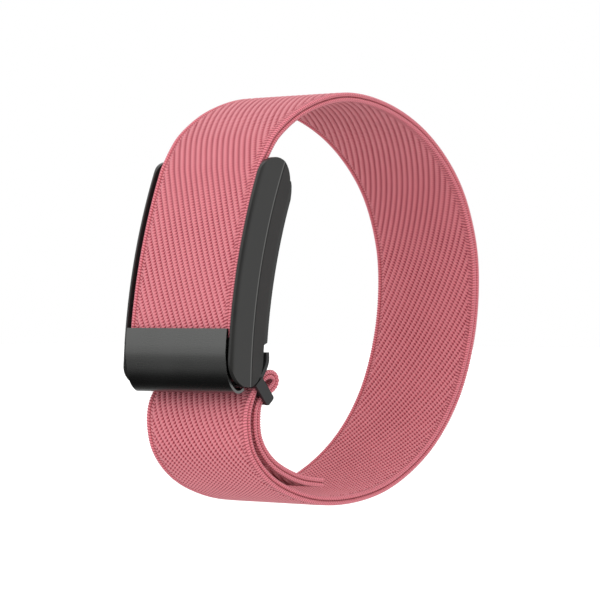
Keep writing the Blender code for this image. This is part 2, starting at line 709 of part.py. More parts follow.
def make_hinge_pin():
    pin = rod(HINGE_Y, HINGE_Z, PIN_RADIUS, -KNUCKLE_END, KNUCKLE_END)
    add_piece("hinge_pin", pin, "pin_steel")


def cover_path():
    """The middle of the cover's sheet: up along the pod, and curled under its lower end."""
    height = COVER_OUTER - COVER_SHEET / 2
    steps = 3
    straight = [pod_side(COVER_TOP + (COVER_BEND - COVER_TOP) * step / steps, height)
                for step in range(steps)]
    curl = [pod_side(COVER_BEND, height), *COVER_CURL]
    return straight + smooth_path(curl, 4)


def make_clasp_cover():
    """The fold-over cover, a thin metal sheet with one knuckle, its origin on the hinge."""
    path = cover_path()
    sheet = ribbon(path, [COVER_SHEET / 2] * len(path))
    cover = extrude_side(sheet, -COVER_HALF_WIDTH, COVER_HALF_WIDTH)
    for side in (-1, 1):
        ends = sorted((side * KNUCKLE_SPLIT, side * (KNUCKLE_END + FINE_GAP)))
        relief = rod(HINGE_Y, HINGE_Z, KNUCKLE_RADIUS + 0.2, *ends)
        cover = boolean(cover, relief, "DIFFERENCE")
    knuckle = rod(HINGE_Y, HINGE_Z, KNUCKLE_RADIUS, -KNUCKLE_SPLIT, KNUCKLE_SPLIT)
    cover = boolean(cover, knuckle, "UNION")
    bore = rod(HINGE_Y, HINGE_Z, KNUCKLE_BORE, -KNUCKLE_END, KNUCKLE_END)
    cover = boolean(cover, bore, "DIFFERENCE")
    add_piece("clasp_cover", cover, "cover_metal", origin=(0.0, HINGE_Y, HINGE_Z))


# ---------------------------------------------------------------- band


def strap_path():
    """The middle of the band's thickness, from its end under the cover round to its tail."""
    height = CHANNEL_FLOOR + GAP + BAND_THICKNESS / 2
    steps = 12
    on_pod = [pod_side(STRAP_END + (STRAP_LEAVES_POD - STRAP_END) * step / steps, height)
              for step in range(steps)]
    through_one = [frame_side(SLOT_ONE, offset) for offset in (-SLOT_REACH, 0.0, SLOT_REACH)]
    through_two = [frame_side(SLOT_TWO, offset) for offset in (SLOT_REACH, 0.0, -SLOT_REACH)]
    free = [pod_side(STRAP_LEAVES_POD, height), *LOOP_ROUTE, *through_one, *FOLD_ROUTE,
            *through_two, *TAIL_ROUTE]
    return on_pod + smooth_path(free, 4)


def strap_half_thickness(place):
    """The band is squeezed thinner where it passes through the frame's two slots."""
    squeeze = 0.0
    for slot in (SLOT_ONE, SLOT_TWO):
        middle = frame_side(slot, 0.0)
        distance = hypot(place[0] - middle[0], place[1] - middle[1])
        squeeze = max(squeeze, exp(-(distance / PINCH_REACH) ** 2))
    return (BAND_THICKNESS - (BAND_THICKNESS - BAND_PINCHED) * squeeze) / 2


def make_strap():
    path = strap_path()
    outline = ribbon(path, [strap_half_thickness(place) for place in path])
    add_piece("strap", extrude_side(outline, -BAND_WIDTH / 2, BAND_WIDTH / 2), "knit")


def make_strap_end_bar():
    """The metal bar on the end of the band, held under the closed cover."""
    upper_end = STRAP_END - GAP
    bar = bent_block(-END_BAR_HALF_LENGTH, END_BAR_HALF_LENGTH, upper_end - END_BAR_DEPTH,
                     upper_end, CHANNEL_FLOOR + GAP, COVER_OUTER - COVER_SHEET - END_BAR_CLEARANCE)
    add_piece("strap_end_bar", bar, "pin_steel")


def build():
    clear_scene()
    make_outer_cover()
    make_skin_cover()
    make_gasket()
    make_window()
    make_light_barrier()
    make_sensor_board()
    make_light_sources()
    make_photodiodes()
    make_skin_contact()
    make_main_board()
    make_chips()
    make_battery()
    make_charging_coil()
    make_antenna()
    make_motor()
    make_clasp_frame()
    make_hinge_pin()
    make_clasp_cover()
    make_strap()
    make_strap_end_bar()


build()
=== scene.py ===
"""Looks of the fitness tracker band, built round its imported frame.

The woven band, its edge cords, both shells of the pod, and the clasp's frame and cover are new,
finer pieces.  Every other piece keeps its CAD shape and gets a finished material.  Lengths are
millimetres unless a name ends in _M, and meshes are written in metres.
"""
import json
from math import cos, pi, radians, sin, tan

import bmesh
import bpy
import numpy as np
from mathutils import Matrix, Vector


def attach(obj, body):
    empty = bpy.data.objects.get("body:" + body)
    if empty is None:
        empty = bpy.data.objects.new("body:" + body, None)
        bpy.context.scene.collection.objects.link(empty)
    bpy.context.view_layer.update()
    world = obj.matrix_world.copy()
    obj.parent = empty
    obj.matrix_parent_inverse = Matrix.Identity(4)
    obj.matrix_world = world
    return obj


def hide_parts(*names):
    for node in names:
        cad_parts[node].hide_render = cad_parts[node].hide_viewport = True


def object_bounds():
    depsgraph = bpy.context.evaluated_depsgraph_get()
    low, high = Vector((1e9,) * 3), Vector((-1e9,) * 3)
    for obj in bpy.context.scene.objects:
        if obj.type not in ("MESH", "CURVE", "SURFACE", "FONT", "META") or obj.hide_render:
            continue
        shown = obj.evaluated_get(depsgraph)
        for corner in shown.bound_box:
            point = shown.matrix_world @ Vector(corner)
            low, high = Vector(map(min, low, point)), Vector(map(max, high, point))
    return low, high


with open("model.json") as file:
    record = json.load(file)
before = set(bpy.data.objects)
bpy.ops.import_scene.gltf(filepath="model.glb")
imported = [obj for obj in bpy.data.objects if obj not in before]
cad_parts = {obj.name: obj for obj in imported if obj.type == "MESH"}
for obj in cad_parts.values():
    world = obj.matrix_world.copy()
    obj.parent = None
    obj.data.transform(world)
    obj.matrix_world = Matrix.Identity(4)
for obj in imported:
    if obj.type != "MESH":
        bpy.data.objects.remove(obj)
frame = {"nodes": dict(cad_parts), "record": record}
cad_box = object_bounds()

MM = 0.001

# ---------------------------------------------------------------- the band's route (as in the CAD)

PARTING_RADIUS = 100.15      # the pod is curved along its length
POD_TILT = 12.87
POD_MIDDLE = (-26.13, 5.06)
RIDGE = 0.38                 # height of the side walls' ridge above the pod's parting line
POD_HALF_WIDTH = 13.6
STRAP_HEIGHT = 4.35          # middle of the band above the pod's parting line
STRAP_END = -12.45           # distances along the pod, from its middle
STRAP_LEAVES_POD = 18.05
FRAME_TOP = (-26.24, -14.67)
FRAME_SLOPE = 49.5
SLOT_ONE = 1.25              # distances down the clasp frame
SLOT_TWO = 3.75
SLOT_REACH = 0.9
# (y, z) points of the band's middle line, measured in the photograph's side view and rounded.
LOOP_ROUTE = ((-21.95, 27.8), (-19.85, 30.1), (-12.65, 34.6), (-0.95, 37.65), (12.25, 36.1),
              (24.0, 30.8), (33.2, 22.0), (37.9, 11.3), (38.7, 2.0), (37.05, -8.3),
              (32.3, -19.1), (24.0, -28.2), (11.75, -34.85), (-1.0, -37.1), (-12.25, -36.15),
              (-22.0, -32.35), (-26.9, -27.4), (-28.2, -22.3), (-27.75, -19.2), (-26.95, -17.6))
FOLD_ROUTE = ((-23.6, -13.95), (-22.4, -13.42), (-21.1, -13.62), (-20.4, -14.4),
              (-20.75, -15.35), (-21.8, -16.15))
TAIL_ROUTE = ((-25.3, -19.4), (-25.55, -21.2), (-25.55, -22.9), (-25.15, -24.85), (-24.15, -26.7),
              (-22.6, -28.45), (-20.6, -29.95), (-18.1, -31.2), (-15.65, -32.15), (-12.5, -33.0),
              (-7.0, -33.7))

# ---------------------------------------------------------------- the weave, and the pod's colours

BAND_THICKNESS = 1.6
BAND_PINCHED = 1.0           # thickness inside the clasp frame's slots
PINCH_REACH = 2.2
RIB_ANGLE = 26.0             # between the ribs and the band's length
RIB_PITCH = 1.34             # from rib to rib, across the band
RIB_HEIGHT = 0.30
RIB_FLATNESS = 2.4           # a higher power gives flatter ribs with narrower grooves
STITCH_PITCH = 0.57
STITCH_ANGLE = 36.0          # between the stitches and a line straight across the band
STITCH_NOTCH = 0.72          # how far the stitches cut into the sides of a rib
RIBS_END = 10.75             # the ribs stop here, and a ladder of slanted stitches follows
LADDER_BLEND = 0.1
RIBS_SINK = (-0.25, 0.15)    # where the ribs sink to the ladder's level, from their end
LADDER_SUNK = 0.10           # the ladder lies this far below the band's face, the ribs' crests above
RUNG_PITCH = 0.62
RUNG_SLANT = 0.38            # how far a rung climbs along the band for each step across it
BODY_HALF_WIDTH = 11.75
EDGE_ROUND = 0.5             # width of the rounded border of each face
EDGE_DROP = 0.42
BLUNT_END = 0.5              # the band's ends narrow over this length
BLUNT_SHARE = 0.45           # share of the thickness that is left at an end
COLUMN = 0.25                # mesh spacing across the band
CORD_RADIUS = 0.38
CORD_MIDDLE = 11.92
CORD_SIDES = 10
CORD_RINGS_PER_WRAP = 5
CORD_PROUD = 0.04            # how far a cord stands out of the band's face
CORD_BLUNT_END = 0.4
WRAP_PITCH = 0.50
WRAP_HEIGHT = 0.045

PINK_CREST = (0.79, 0.243, 0.283)
# Shade painted into the grooves and the gaps between the yarns:
PINK_GROOVE_SHADE = (0.26, 0.010, 0.028)
PINK_CORD = (0.88, 0.265, 0.315)
SHEEN_TINT = (1.0, 0.72, 0.75, 1.0)

# Where a fold goes from yarn (0 in its middle) to the shade painted in the gap beside it (1 at its
# ends).
GROOVE_FOLD = (0.50, 0.92)
STITCH_FOLD = (0.45, 0.85)
RUNG_FOLD = (0.42, 0.80)
WRAP_FOLD = (0.50, 0.95)

POD_BLACK = (0.019, 0.019, 0.018)
# A highlight is painted along the ridge of the pod's side walls, in this colour.
POD_RIDGE_HIGHLIGHT = (0.15, 0.15, 0.145)
RIDGE_HIGHLIGHT = 0.75                # how much of the painted highlight shows along the ridge's middle
RIDGE_HIGHLIGHT_REACH = (0.05, 0.16)  # full up to the first distance from its middle, none from the second
RIDGE_HIGHLIGHT_DEPTH = (0.12, 0.04)  # none at the first depth below the pod's widest place, full at the second

COVER_GREY = (0.165, 0.167, 0.164)
BRUSHED = (0.04, 1.0, 1.0)   # the cover's grain is drawn out along the hinge


def pod_side(along, height):
    """The (y, z) place of a point along the pod and above its parting line."""
    tilt = radians(POD_TILT)
    axis_y = POD_MIDDLE[0] + PARTING_RADIUS * cos(tilt)
    axis_z = POD_MIDDLE[1] - PARTING_RADIUS * sin(tilt)
    angle = tilt + along / PARTING_RADIUS
    radius = PARTING_RADIUS + height
    return (axis_y - radius * cos(angle), axis_z + radius * sin(angle))


def frame_side(down, through):
    """The (y, z) place of a point down the clasp frame's slope and through its depth."""
    slope = radians(FRAME_SLOPE)
    return (FRAME_TOP[0] + down * cos(slope) + through * sin(slope),
            FRAME_TOP[1] - down * sin(slope) + through * cos(slope))


def smooth_route(points, steps=30):
    """A centripetal Catmull-Rom curve through a few given points."""
    points = [np.array(point, float) for point in points]
    guide = [2 * points[0] - points[1], *points, 2 * points[-1] - points[-2]]
    route = []
    for index in range(1, len(guide) - 2):
        corners = guide[index - 1:index + 3]
        gaps = [np.linalg.norm(after - before) ** 0.5 for before, after in zip(corners, corners[1:])]
        knots = np.concatenate([[0.0], np.cumsum(gaps)])
        place = np.linspace(knots[1], knots[2], steps, endpoint=False)[:, None]
        level = [between(corners[low], corners[low + 1], knots[low], knots[low + 1], place)
                 for low in range(3)]
        level = [between(level[low], level[low + 1], knots[low], knots[low + 2], place)
                 for low in range(2)]
        route.append(between(level[0], level[1], knots[1], knots[2], place))
    return np.concatenate([*route, [points[-1]]])


def between(first, second, first_knot, second_knot, place):
    share = (place - first_knot) / (second_knot - first_knot)
    return first * (1 - share) + second * share


def even(route, spacing):
    """The same route with its points an equal distance apart."""
    steps = np.linalg.norm(np.diff(route, axis=0), axis=1)
    run = np.concatenate([[0.0], np.cumsum(steps)])
    count = int(round(run[-1] / spacing))
    places = np.linspace(0.0, run[-1], count + 1)
    return np.stack([np.interp(places, run, route[:, axis]) for axis in range(2)], axis=1)


class Route:
    """The middle line of the band in the side view, by distance from its end under the cover."""

    FINE = 0.05              # distance between its points
    SOFTENING = 0.55         # over what distance its kinks are rounded off
    STEPS_ON_POD = 160

    def __init__(self):
        on_pod = [pod_side(along, STRAP_HEIGHT)
                  for along in np.linspace(STRAP_END, STRAP_LEAVES_POD, self.STEPS_ON_POD)]
        into_one = [frame_side(SLOT_ONE, through) for through in (-SLOT_REACH, 0, SLOT_REACH)]
        into_two = [frame_side(SLOT_TWO, through) for through in (SLOT_REACH, 0, -SLOT_REACH)]
        free = smooth_route([on_pod[-1], *LOOP_ROUTE, *into_one, *FOLD_ROUTE, *into_two, *TAIL_ROUTE])
        route = even(np.concatenate([np.array(on_pod[:-1]), free]), self.FINE)
        self.points = even(self.softened(route), self.FINE)
        self.length = self.FINE * (len(self.points) - 1)
        self.run = np.linspace(0.0, self.length, len(self.points))
        slope = np.gradient(self.points, self.run, axis=0)
        self.slope = slope / np.linalg.norm(slope, axis=1)[:, None]

    def softened(self, route):
        """The curve's kinks rounded off by a running average, with both ends kept."""
        reach = int(3 * self.SOFTENING / self.FINE)
        weights = np.exp(-0.5 * (np.arange(-reach, reach + 1) * self.FINE / self.SOFTENING) ** 2)
        weights /= weights.sum()
        before = 2 * route[0] - route[reach:0:-1]
        after = 2 * route[-1] - route[-2:-reach - 2:-1]
        padded = np.concatenate([before, route, after])
        return np.stack([np.convolve(padded[:, axis], weights, "valid") for axis in range(2)], axis=1)

    def at(self, run):
        """Points and outward directions, as (y, z) pairs, at distances along the band."""
        place = np.stack([np.interp(run, self.run, self.points[:, axis]) for axis in range(2)], axis=-1)
        slope = np.stack([np.interp(run, self.run, self.slope[:, axis]) for axis in range(2)], axis=-1)
        slope /= np.linalg.norm(slope, axis=-1, keepdims=True)
        return place, np.stack([-slope[..., 1], slope[..., 0]], axis=-1)

    def nearest(self, target):
        """The distance along the band at which it passes a point."""
        gaps = np.linalg.norm(self.points - np.array(target), axis=1)
        return self.run[int(np.argmin(gaps))]

    def half_thickness(self, run):
        """Half the band's thickness, less where the frame's slots squeeze it."""
        place = self.at(run)[0]
        squeeze = np.zeros_like(run)
        for slot in (SLOT_ONE, SLOT_TWO):
            distance = np.linalg.norm(place - np.array(frame_side(slot, 0.0)), axis=-1)
            squeeze = np.maximum(squeeze, np.exp(-(distance / PINCH_REACH) ** 2))
        return (BAND_THICKNESS - (BAND_THICKNESS - BAND_PINCHED) * squeeze) / 2

    def lay(self, across, run, height):
        """World points in metres: across the band, along it, and above its middle."""
        place, outward = self.at(run)
        side = place + outward * height[..., None]
        return np.concatenate([across[..., None], side], axis=-1) * MM


def smoothstep(value, low, high):
    share = np.clip((value - low) / (high - low), 0.0, 1.0)
    return share * share * (3 - 2 * share)


# ---------------------------------------------------------------- meshes and pieces


def piece_from(name, points, faces, weave=None):
    """A new mesh object; weave is what its material needs to know at each point."""
    mesh = bpy.data.meshes.new(name)
    mesh.from_pydata(points.reshape(-1, 3).tolist(), [], faces)
    if weave is not None:
        attribute = mesh.attributes.new("weave", "FLOAT_VECTOR", "POINT")
        attribute.data.foreach_set("vector", weave.astype(np.float32).ravel())
    mesh.update()
    mesh.shade_smooth()
    piece = bpy.data.objects.new(name, mesh)
    bpy.context.scene.collection.objects.link(piece)
    return piece


def put(piece, body, material):
    """Say what body a piece rides on and what it is made of."""
    piece.data.materials.clear()
    piece.data.materials.append(material)
    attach(piece, body)
    return piece


# ---------------------------------------------------------------- shaders


class Shader:
    """One material, with short names for the few kinds of node that it uses."""

    def __init__(self, name, colour, roughness, metallic=0.0):
        self.material = bpy.data.materials.new(name)
        self.material.use_nodes = True
        self.nodes = self.material.node_tree.nodes
        self.links = self.material.node_tree.links
        self.surface = self.nodes["Principled BSDF"]
        self.set("Base Color", (*colour, 1.0))
        self.set("Roughness", roughness)
        self.set("Metallic", metallic)

    def set(self, name, value):
        self.join(value, self.surface.inputs[name])

    def join(self, value, socket):
        if isinstance(value, bpy.types.NodeSocket):
            self.links.new(value, socket)
        else:
            socket.default_value = value

    def math(self, operation, *values):
        node = self.nodes.new("ShaderNodeMath")
        node.operation = operation
        for value, socket in zip(values, node.inputs):
            self.join(value, socket)
        return node.outputs[0]

    def vector(self, operation, *values, output="Vector"):
        node = self.nodes.new("ShaderNodeVectorMath")
        node.operation = operation
        for value, socket in zip(values, node.inputs):
            self.join(value, socket)
        return node.outputs[output]

    def add(self, first, second):
        return self.math("ADD", first, second)

    def scale(self, value, factor):
        return self.math("MULTIPLY", value, factor)

    def remap(self, value, low, high, from_value=0.0, to_value=1.0):
        node = self.nodes.new("ShaderNodeMapRange")
        node.interpolation_type = "SMOOTHSTEP"
        self.join(value, node.inputs["Value"])
        for name, number in (("From Min", low), ("From Max", high), ("To Min", from_value),
                             ("To Max", to_value)):
            node.inputs[name].default_value = number
        return node.outputs[0]

    def mix(self, factor, first, second):
        node = self.nodes.new("ShaderNodeMix")
        node.data_type = "RGBA"
        self.join(factor, node.inputs["Factor"])
        for value, socket in ((first, node.inputs[6]), (second, node.inputs[7])):
            self.join(value if isinstance(value, bpy.types.NodeSocket) else (*value, 1.0), socket)
        return node.outputs[2]

    def noise(self, size, detail=2.0, stretch=(1.0, 1.0, 1.0), vector=None):
        """Noise with features about as large as size, in millimetres unless a vector is given."""
        if vector is None:
            vector = self.nodes.new("ShaderNodeTexCoord").outputs["Object"]
            size = size * MM
        mapping = self.nodes.new("ShaderNodeMapping")
        mapping.inputs["Scale"].default_value = [share / size for share in stretch]
        self.links.new(vector, mapping.inputs["Vector"])
        node = self.nodes.new("ShaderNodeTexNoise")
        node.inputs["Scale"].default_value = 1.0
        node.inputs["Detail"].default_value = detail
        self.links.new(mapping.outputs[0], node.inputs["Vector"])
        return node.outputs[0]

    def weave(self):
        """The attribute of a woven piece, as a vector and as its three numbers."""
        node = self.nodes.new("ShaderNodeAttribute")
        node.attribute_name = "weave"
        split = self.nodes.new("ShaderNodeSeparateXYZ")
        self.links.new(node.outputs["Vector"], split.inputs[0])
        return node.outputs["Vector"], *split.outputs

    def fold(self, phase):
        """0 in the middle of each period of a phase and 1 at its ends."""
        wrapped = self.math("FRACT", phase)
        return self.math("ABSOLUTE", self.math("MULTIPLY_ADD", wrapped, 2.0, -1.0))

    def bump(self, height, depth):
        """Relief from a height, whose unit stands depth millimetres proud."""
        node = self.nodes.new("ShaderNodeBump")
        node.inputs["Distance"].default_value = depth * MM
        self.links.new(height, node.inputs["Height"])
        self.links.new(node.outputs[0], self.surface.inputs["Normal"])


def woven_material():
    """Diagonal ribs of short slanted stitches, and a ladder of longer ones along each edge."""
    made = Shader("woven_band", PINK_CREST, 0.85)
    vector, across, run, _ = made.weave()
    rib_slope = tan(radians(RIB_ANGLE))
    rib = made.fold(made.scale(made.math("MULTIPLY_ADD", run, rib_slope, across), 1 / RIB_PITCH))
    turn = radians(STITCH_ANGLE)
    stitch_place = made.add(made.scale(run, cos(turn)), made.scale(across, -sin(turn)))
    stitch = made.fold(made.scale(stitch_place, 1 / STITCH_PITCH))
    beside = made.math("ABSOLUTE", across)
    rung_place = made.math("MULTIPLY_ADD", beside, -RUNG_SLANT, run)
    rung = made.fold(made.scale(rung_place, 1 / RUNG_PITCH))
    edge = made.remap(beside, RIBS_END - LADDER_BLEND, RIBS_END + LADDER_BLEND)
    inner_edge = made.math("SUBTRACT", 1.0, edge)

    # The groove beside a rib is notched by the stitches. Shade is painted into the grooves, into the
    # gaps between stitches, darkest next to the groove, and between the ladder's rungs.
    notched = made.add(rib, made.scale(made.math("SUBTRACT", stitch, 0.5), STITCH_NOTCH))
    groove = made.scale(made.remap(notched, *GROOVE_FOLD), made.remap(stitch, 0.1, 0.7, 0.50, 1.0))
    gap = made.scale(made.remap(stitch, *STITCH_FOLD), made.remap(rib, 0.0, 0.6, 0.20, 0.62))
    on_rib = made.math("MAXIMUM", groove, gap)
    on_edge = made.scale(made.remap(rung, *RUNG_FOLD), 0.80)
    # All the painted shade of the weave; the fibre's own grain is added to it below.
    dark = made.add(made.scale(on_rib, inner_edge), made.scale(on_edge, edge))
    fibre = made.noise(0.16, 3.0, vector=vector)
    patch = made.noise(9.0, 2.0, vector=vector)
    shade = made.add(made.scale(dark, 0.84), made.scale(made.math("SUBTRACT", fibre, 0.5), 0.34))
    shade = made.math("MAXIMUM", shade, 0.0)
    tint = made.mix(shade, PINK_CREST, PINK_GROOVE_SHADE)
    drift = made.remap(patch, 0.3, 0.7, 0.0, 0.14)
    paler = tuple(1.10 * value for value in PINK_CREST)
    made.set("Base Color", made.mix(drift, tint, paler))
    made.set("Roughness", made.remap(fibre, 0.2, 0.8, 0.78, 0.98))

    rounded = made.math("SUBTRACT", 1.0, made.math("POWER", rib, RIB_FLATNESS))
    lifted = made.math("SUBTRACT", 1.0, made.math("POWER", stitch, 2.0))
    rung_lift = made.math("SUBTRACT", 1.0, made.math("POWER", rung, 2.0))
    rib_relief = made.add(made.scale(rounded, 0.45), made.scale(lifted, 0.55))
    relief = made.add(made.scale(rib_relief, inner_edge), made.scale(rung_lift, edge))
    made.bump(made.add(relief, made.scale(fibre, 0.25)), 0.20)
    cloth_sheen(made, shade)
    return made.material


def cord_material():
    """The wrapped cords along the band's edges."""
    made = Shader("edge_cord", PINK_CORD, 0.8)
    vector, turn, run, _ = made.weave()
    wrap = made.fold(made.add(made.scale(run, 1 / WRAP_PITCH), turn))
    # Shade is painted into the gaps between the wraps.
    gap = made.remap(wrap, *WRAP_FOLD)
    fibre = made.noise(0.14, 3.0, vector=vector)
    shade = made.add(made.scale(gap, 0.80), made.scale(made.math("SUBTRACT", fibre, 0.5), 0.3))
    shade = made.math("MAXIMUM", shade, 0.0)
    made.set("Base Color", made.mix(shade, PINK_CORD, PINK_GROOVE_SHADE))
    made.set("Roughness", made.remap(fibre, 0.2, 0.8, 0.7, 0.92))
    lifted = made.math("SUBTRACT", 1.0, made.math("POWER", wrap, 2.0))
    made.bump(made.add(lifted, made.scale(fibre, 0.3)), 0.09)
    cloth_sheen(made, shade)
    return made.material


def cloth_sheen(made, shade):
    """A soft sheen on the raised yarns, turned down where shade is painted into the gaps between them.
    """
    made.set("Specular IOR Level", made.remap(shade, 0.0, 0.6, 0.22, 0.02))
    made.set("Sheen Weight", made.remap(shade, 0.0, 0.6, 0.60, 0.02))
    made.set("Sheen Roughness", 0.5)
    made.set("Sheen Tint", SHEEN_TINT)


def moulded_material(name, colour, roughness, metallic=0.0, grain=0.12, depth=0.006, vary=0.12,
                     stretch=(1.0, 1.0, 1.0)):
    """A hard surface with a fine grain, a slow change of tone and uneven roughness."""
    made = Shader(name, colour, roughness, metallic)
    fine = made.noise(grain, 3.0, stretch)
    slow = made.noise(6.0, 2.0)
    darker = tuple(value * (1 - vary) for value in colour)
    lighter = tuple(value * (1 + vary) for value in colour)
    blend = made.add(made.scale(fine, 0.5), made.scale(slow, 0.5))
    made.set("Base Color", made.mix(made.remap(blend, 0.3, 0.7), darker, lighter))
    made.set("Roughness", made.remap(blend, 0.25, 0.75, roughness * 0.9, min(1.0, roughness * 1.12)))
    made.bump(fine, depth)
    return made.material


def pod_material():
    """Satin black plastic, with a highlight painted along the thin ridge of the side walls."""
    made = Shader("pod_plastic", POD_BLACK, 0.38)
    fine = made.noise(0.10, 3.0)
    slow = made.noise(6.0, 2.0)
    tilt = radians(POD_TILT)
    axis = Vector((0.0, POD_MIDDLE[0] + PARTING_RADIUS * cos(tilt),
                   POD_MIDDLE[1] - PARTING_RADIUS * sin(tilt)))
    place = made.nodes.new("ShaderNodeTexCoord").outputs["Object"]
    spoke = made.vector("SUBTRACT", place, axis * MM)
    spoke = made.vector("MULTIPLY", spoke, (0.0, 1.0, 1.0))
    radius = made.vector("LENGTH", spoke, output="Value")
    distance = made.math("ABSOLUTE", made.math("SUBTRACT", radius, (PARTING_RADIUS + RIDGE) * MM))
    side = made.nodes.new("ShaderNodeSeparateXYZ")
    made.links.new(place, side.inputs[0])
    gone, full = ((POD_HALF_WIDTH - depth) * MM for depth in RIDGE_HIGHLIGHT_DEPTH)
    outermost = made.remap(made.math("ABSOLUTE", side.outputs[0]), gone, full)
    inner, outer = (half * MM for half in RIDGE_HIGHLIGHT_REACH)
    # Painted highlight: a paler band along the side walls' ridge, on their outermost faces.
    ridge_highlight = made.scale(made.remap(distance, inner, outer, 1.0, 0.0), outermost)
    grey = made.mix(made.remap(slow, 0.3, 0.7), POD_BLACK, tuple(1.2 * value for value in POD_BLACK))
    made.set("Base Color", made.mix(made.scale(ridge_highlight, RIDGE_HIGHLIGHT), grey, POD_RIDGE_HIGHLIGHT))
    made.set("Roughness", made.remap(made.add(fine, slow), 0.6, 1.4, 0.34, 0.44))
    made.bump(fine, 0.003)
    return made.material


def make_materials():
    """One finished material for each of the record's slots, and the edge cords' own."""
    made = {"knit": woven_material(), "cord": cord_material(), "pod_plastic": pod_material()}
    made["cover_metal"] = moulded_material("cover_metal", COVER_GREY, 0.27, 1.0, 0.08, 0.0002, 0.03,
                                           stretch=BRUSHED)
    hard = {                 # colour, roughness, metallic, size of grain, its depth, change of tone
        "frame_plastic": ((0.021, 0.021, 0.022), 0.50, 0.0, 0.10, 0.004, 0.10),
        "pin_steel": ((0.56, 0.56, 0.57), 0.28, 1.0, 0.06, 0.002, 0.06),
        "window_glass": ((0.010, 0.010, 0.012), 0.06, 0.0, 0.5, 0.0005, 0.05),
        "seal_rubber": ((0.018, 0.018, 0.018), 0.75, 0.0, 0.2, 0.01, 0.1),
        "board": ((0.015, 0.085, 0.040), 0.42, 0.0, 0.3, 0.01, 0.2),
        "chip": ((0.022, 0.022, 0.023), 0.5, 0.0, 0.08, 0.004, 0.1),
        "battery_foil": ((0.62, 0.62, 0.64), 0.34, 0.85, 1.2, 0.03, 0.06),
        "copper": ((0.76, 0.36, 0.19), 0.32, 1.0, 0.1, 0.004, 0.1),
        "ferrite": ((0.05, 0.05, 0.055), 0.65, 0.0, 0.15, 0.01, 0.15),
        "led_green": ((0.32, 0.80, 0.36), 0.18, 0.0, 0.3, 0.002, 0.05),
        "led_red": ((0.75, 0.10, 0.08), 0.18, 0.0, 0.3, 0.002, 0.05),
        "silicon": ((0.060, 0.050, 0.110), 0.15, 0.2, 0.4, 0.001, 0.1),
    }
    for name, values in hard.items():
        made[name] = moulded_material(name, *values)
    return made


# ---------------------------------------------------------------- the woven band


def make_band(route, name, start, end, material):
    """A closed length of band: an outer and an inner face of ribs, and its two ends."""
    row = COLUMN / tan(radians(RIB_ANGLE))
    columns = int(round(2 * BODY_HALF_WIDTH / COLUMN)) + 1
    rows = int(round((end - start) / row)) + 1
    one_face = np.linspace(-BODY_HALF_WIDTH, BODY_HALF_WIDTH, columns)
    across = np.concatenate([one_face, one_face[::-1]])
    face = np.repeat([1.0, -1.0], columns)
    run = np.linspace(start, end, rows)
    across, run = np.meshgrid(across, run)
    half = route.half_thickness(run)
    taper = blunt_ends(run, start, end, 0.01, BLUNT_END)
    squeeze = half / (BAND_THICKNESS / 2)
    height = face * (half - band_hollow(across, run) * squeeze)
    height *= BLUNT_SHARE + (1 - BLUNT_SHARE) * taper
    points = route.lay(across, run, height)
    weave = np.stack([across, run, np.broadcast_to(face, across.shape)], axis=-1)
    piece = piece_from(name, points, band_faces(rows, columns), weave)
    return put(piece, "tracker", material)


def blunt_ends(run, start, end, before, reach):
    """Nearly 0 at both ends of a length and 1 from a reach inside them."""
    return smoothstep(run, start - before, start + reach) * smoothstep(-run, -end - before, -end + reach)


def band_hollow(across, run):
    """How far a face lies below the band's full thickness, or less than nothing on the crests."""
    phase = (across + run * tan(radians(RIB_ANGLE))) / RIB_PITCH
    rib = np.abs(2 * (phase % 1.0) - 1)
    beside = np.abs(across)
    strip = smoothstep(beside, *(RIBS_END + place for place in RIBS_SINK))
    ribs = (RIB_HEIGHT * rib ** RIB_FLATNESS - LADDER_SUNK) * (1 - strip) + LADDER_SUNK * strip
    edge = EDGE_DROP * smoothstep(beside, BODY_HALF_WIDTH - EDGE_ROUND, BODY_HALF_WIDTH)
    return ribs + edge


def band_faces(rows, columns):
    """Triangles whose shared side runs along the ribs, and quads over both ends."""
    count = 2 * columns
    index = np.arange(rows * count).reshape(rows, count)
    near = index[:-1]
    far = index[1:]
    near_next = np.roll(near, -1, axis=1)
    far_next = np.roll(far, -1, axis=1)
    outer = np.arange(count) < columns
    along = [np.stack([near, near_next, far], -1), np.stack([near_next, far_next, far], -1)]
    back = [np.stack([near, near_next, far_next], -1), np.stack([near, far_next, far], -1)]
    sides = [np.where(outer[None, :, None], first, second) for first, second in zip(along, back)]
    faces = np.concatenate([side.reshape(-1, 3) for side in sides]).tolist()
    for row, turn in ((0, -1), (rows - 1, 1)):
        for column in range(columns - 1):
            ring = index[row]
            mirror = count - 1 - column
            corner = [ring[column], ring[column + 1], ring[mirror - 1], ring[mirror]]
            faces.append([int(value) for value in corner[::turn]])
    return faces


def make_cord(route, name, side, face, start, end, material):
    """A wrapped cord along one edge of one face of the band."""
    rings = int(round((end - start) / WRAP_PITCH * CORD_RINGS_PER_WRAP))
    run = np.linspace(start, end, rings + 1)
    turn = np.arange(CORD_SIDES) / CORD_SIDES
    turn, run = np.meshgrid(turn, run)
    half = route.half_thickness(run)
    flat = 0.5 + 0.5 * half / (BAND_THICKNESS / 2)
    wrap = WRAP_HEIGHT * np.cos(2 * pi * (run / WRAP_PITCH + turn))
    blunt = blunt_ends(run, start, end, 0.08, CORD_BLUNT_END)
    radius = (CORD_RADIUS * flat + wrap) * blunt
    across = side * (CORD_MIDDLE + radius * np.cos(2 * pi * turn))
    height = face * (half - (CORD_RADIUS - CORD_PROUD) * flat) + radius * np.sin(2 * pi * turn)
    points = route.lay(across, run, height)
    weave = np.stack([turn, run, np.zeros_like(run)], axis=-1)
    piece = piece_from(name, points, tube_faces(rings + 1, CORD_SIDES, side > 0), weave)
    return put(piece, "tracker", material)


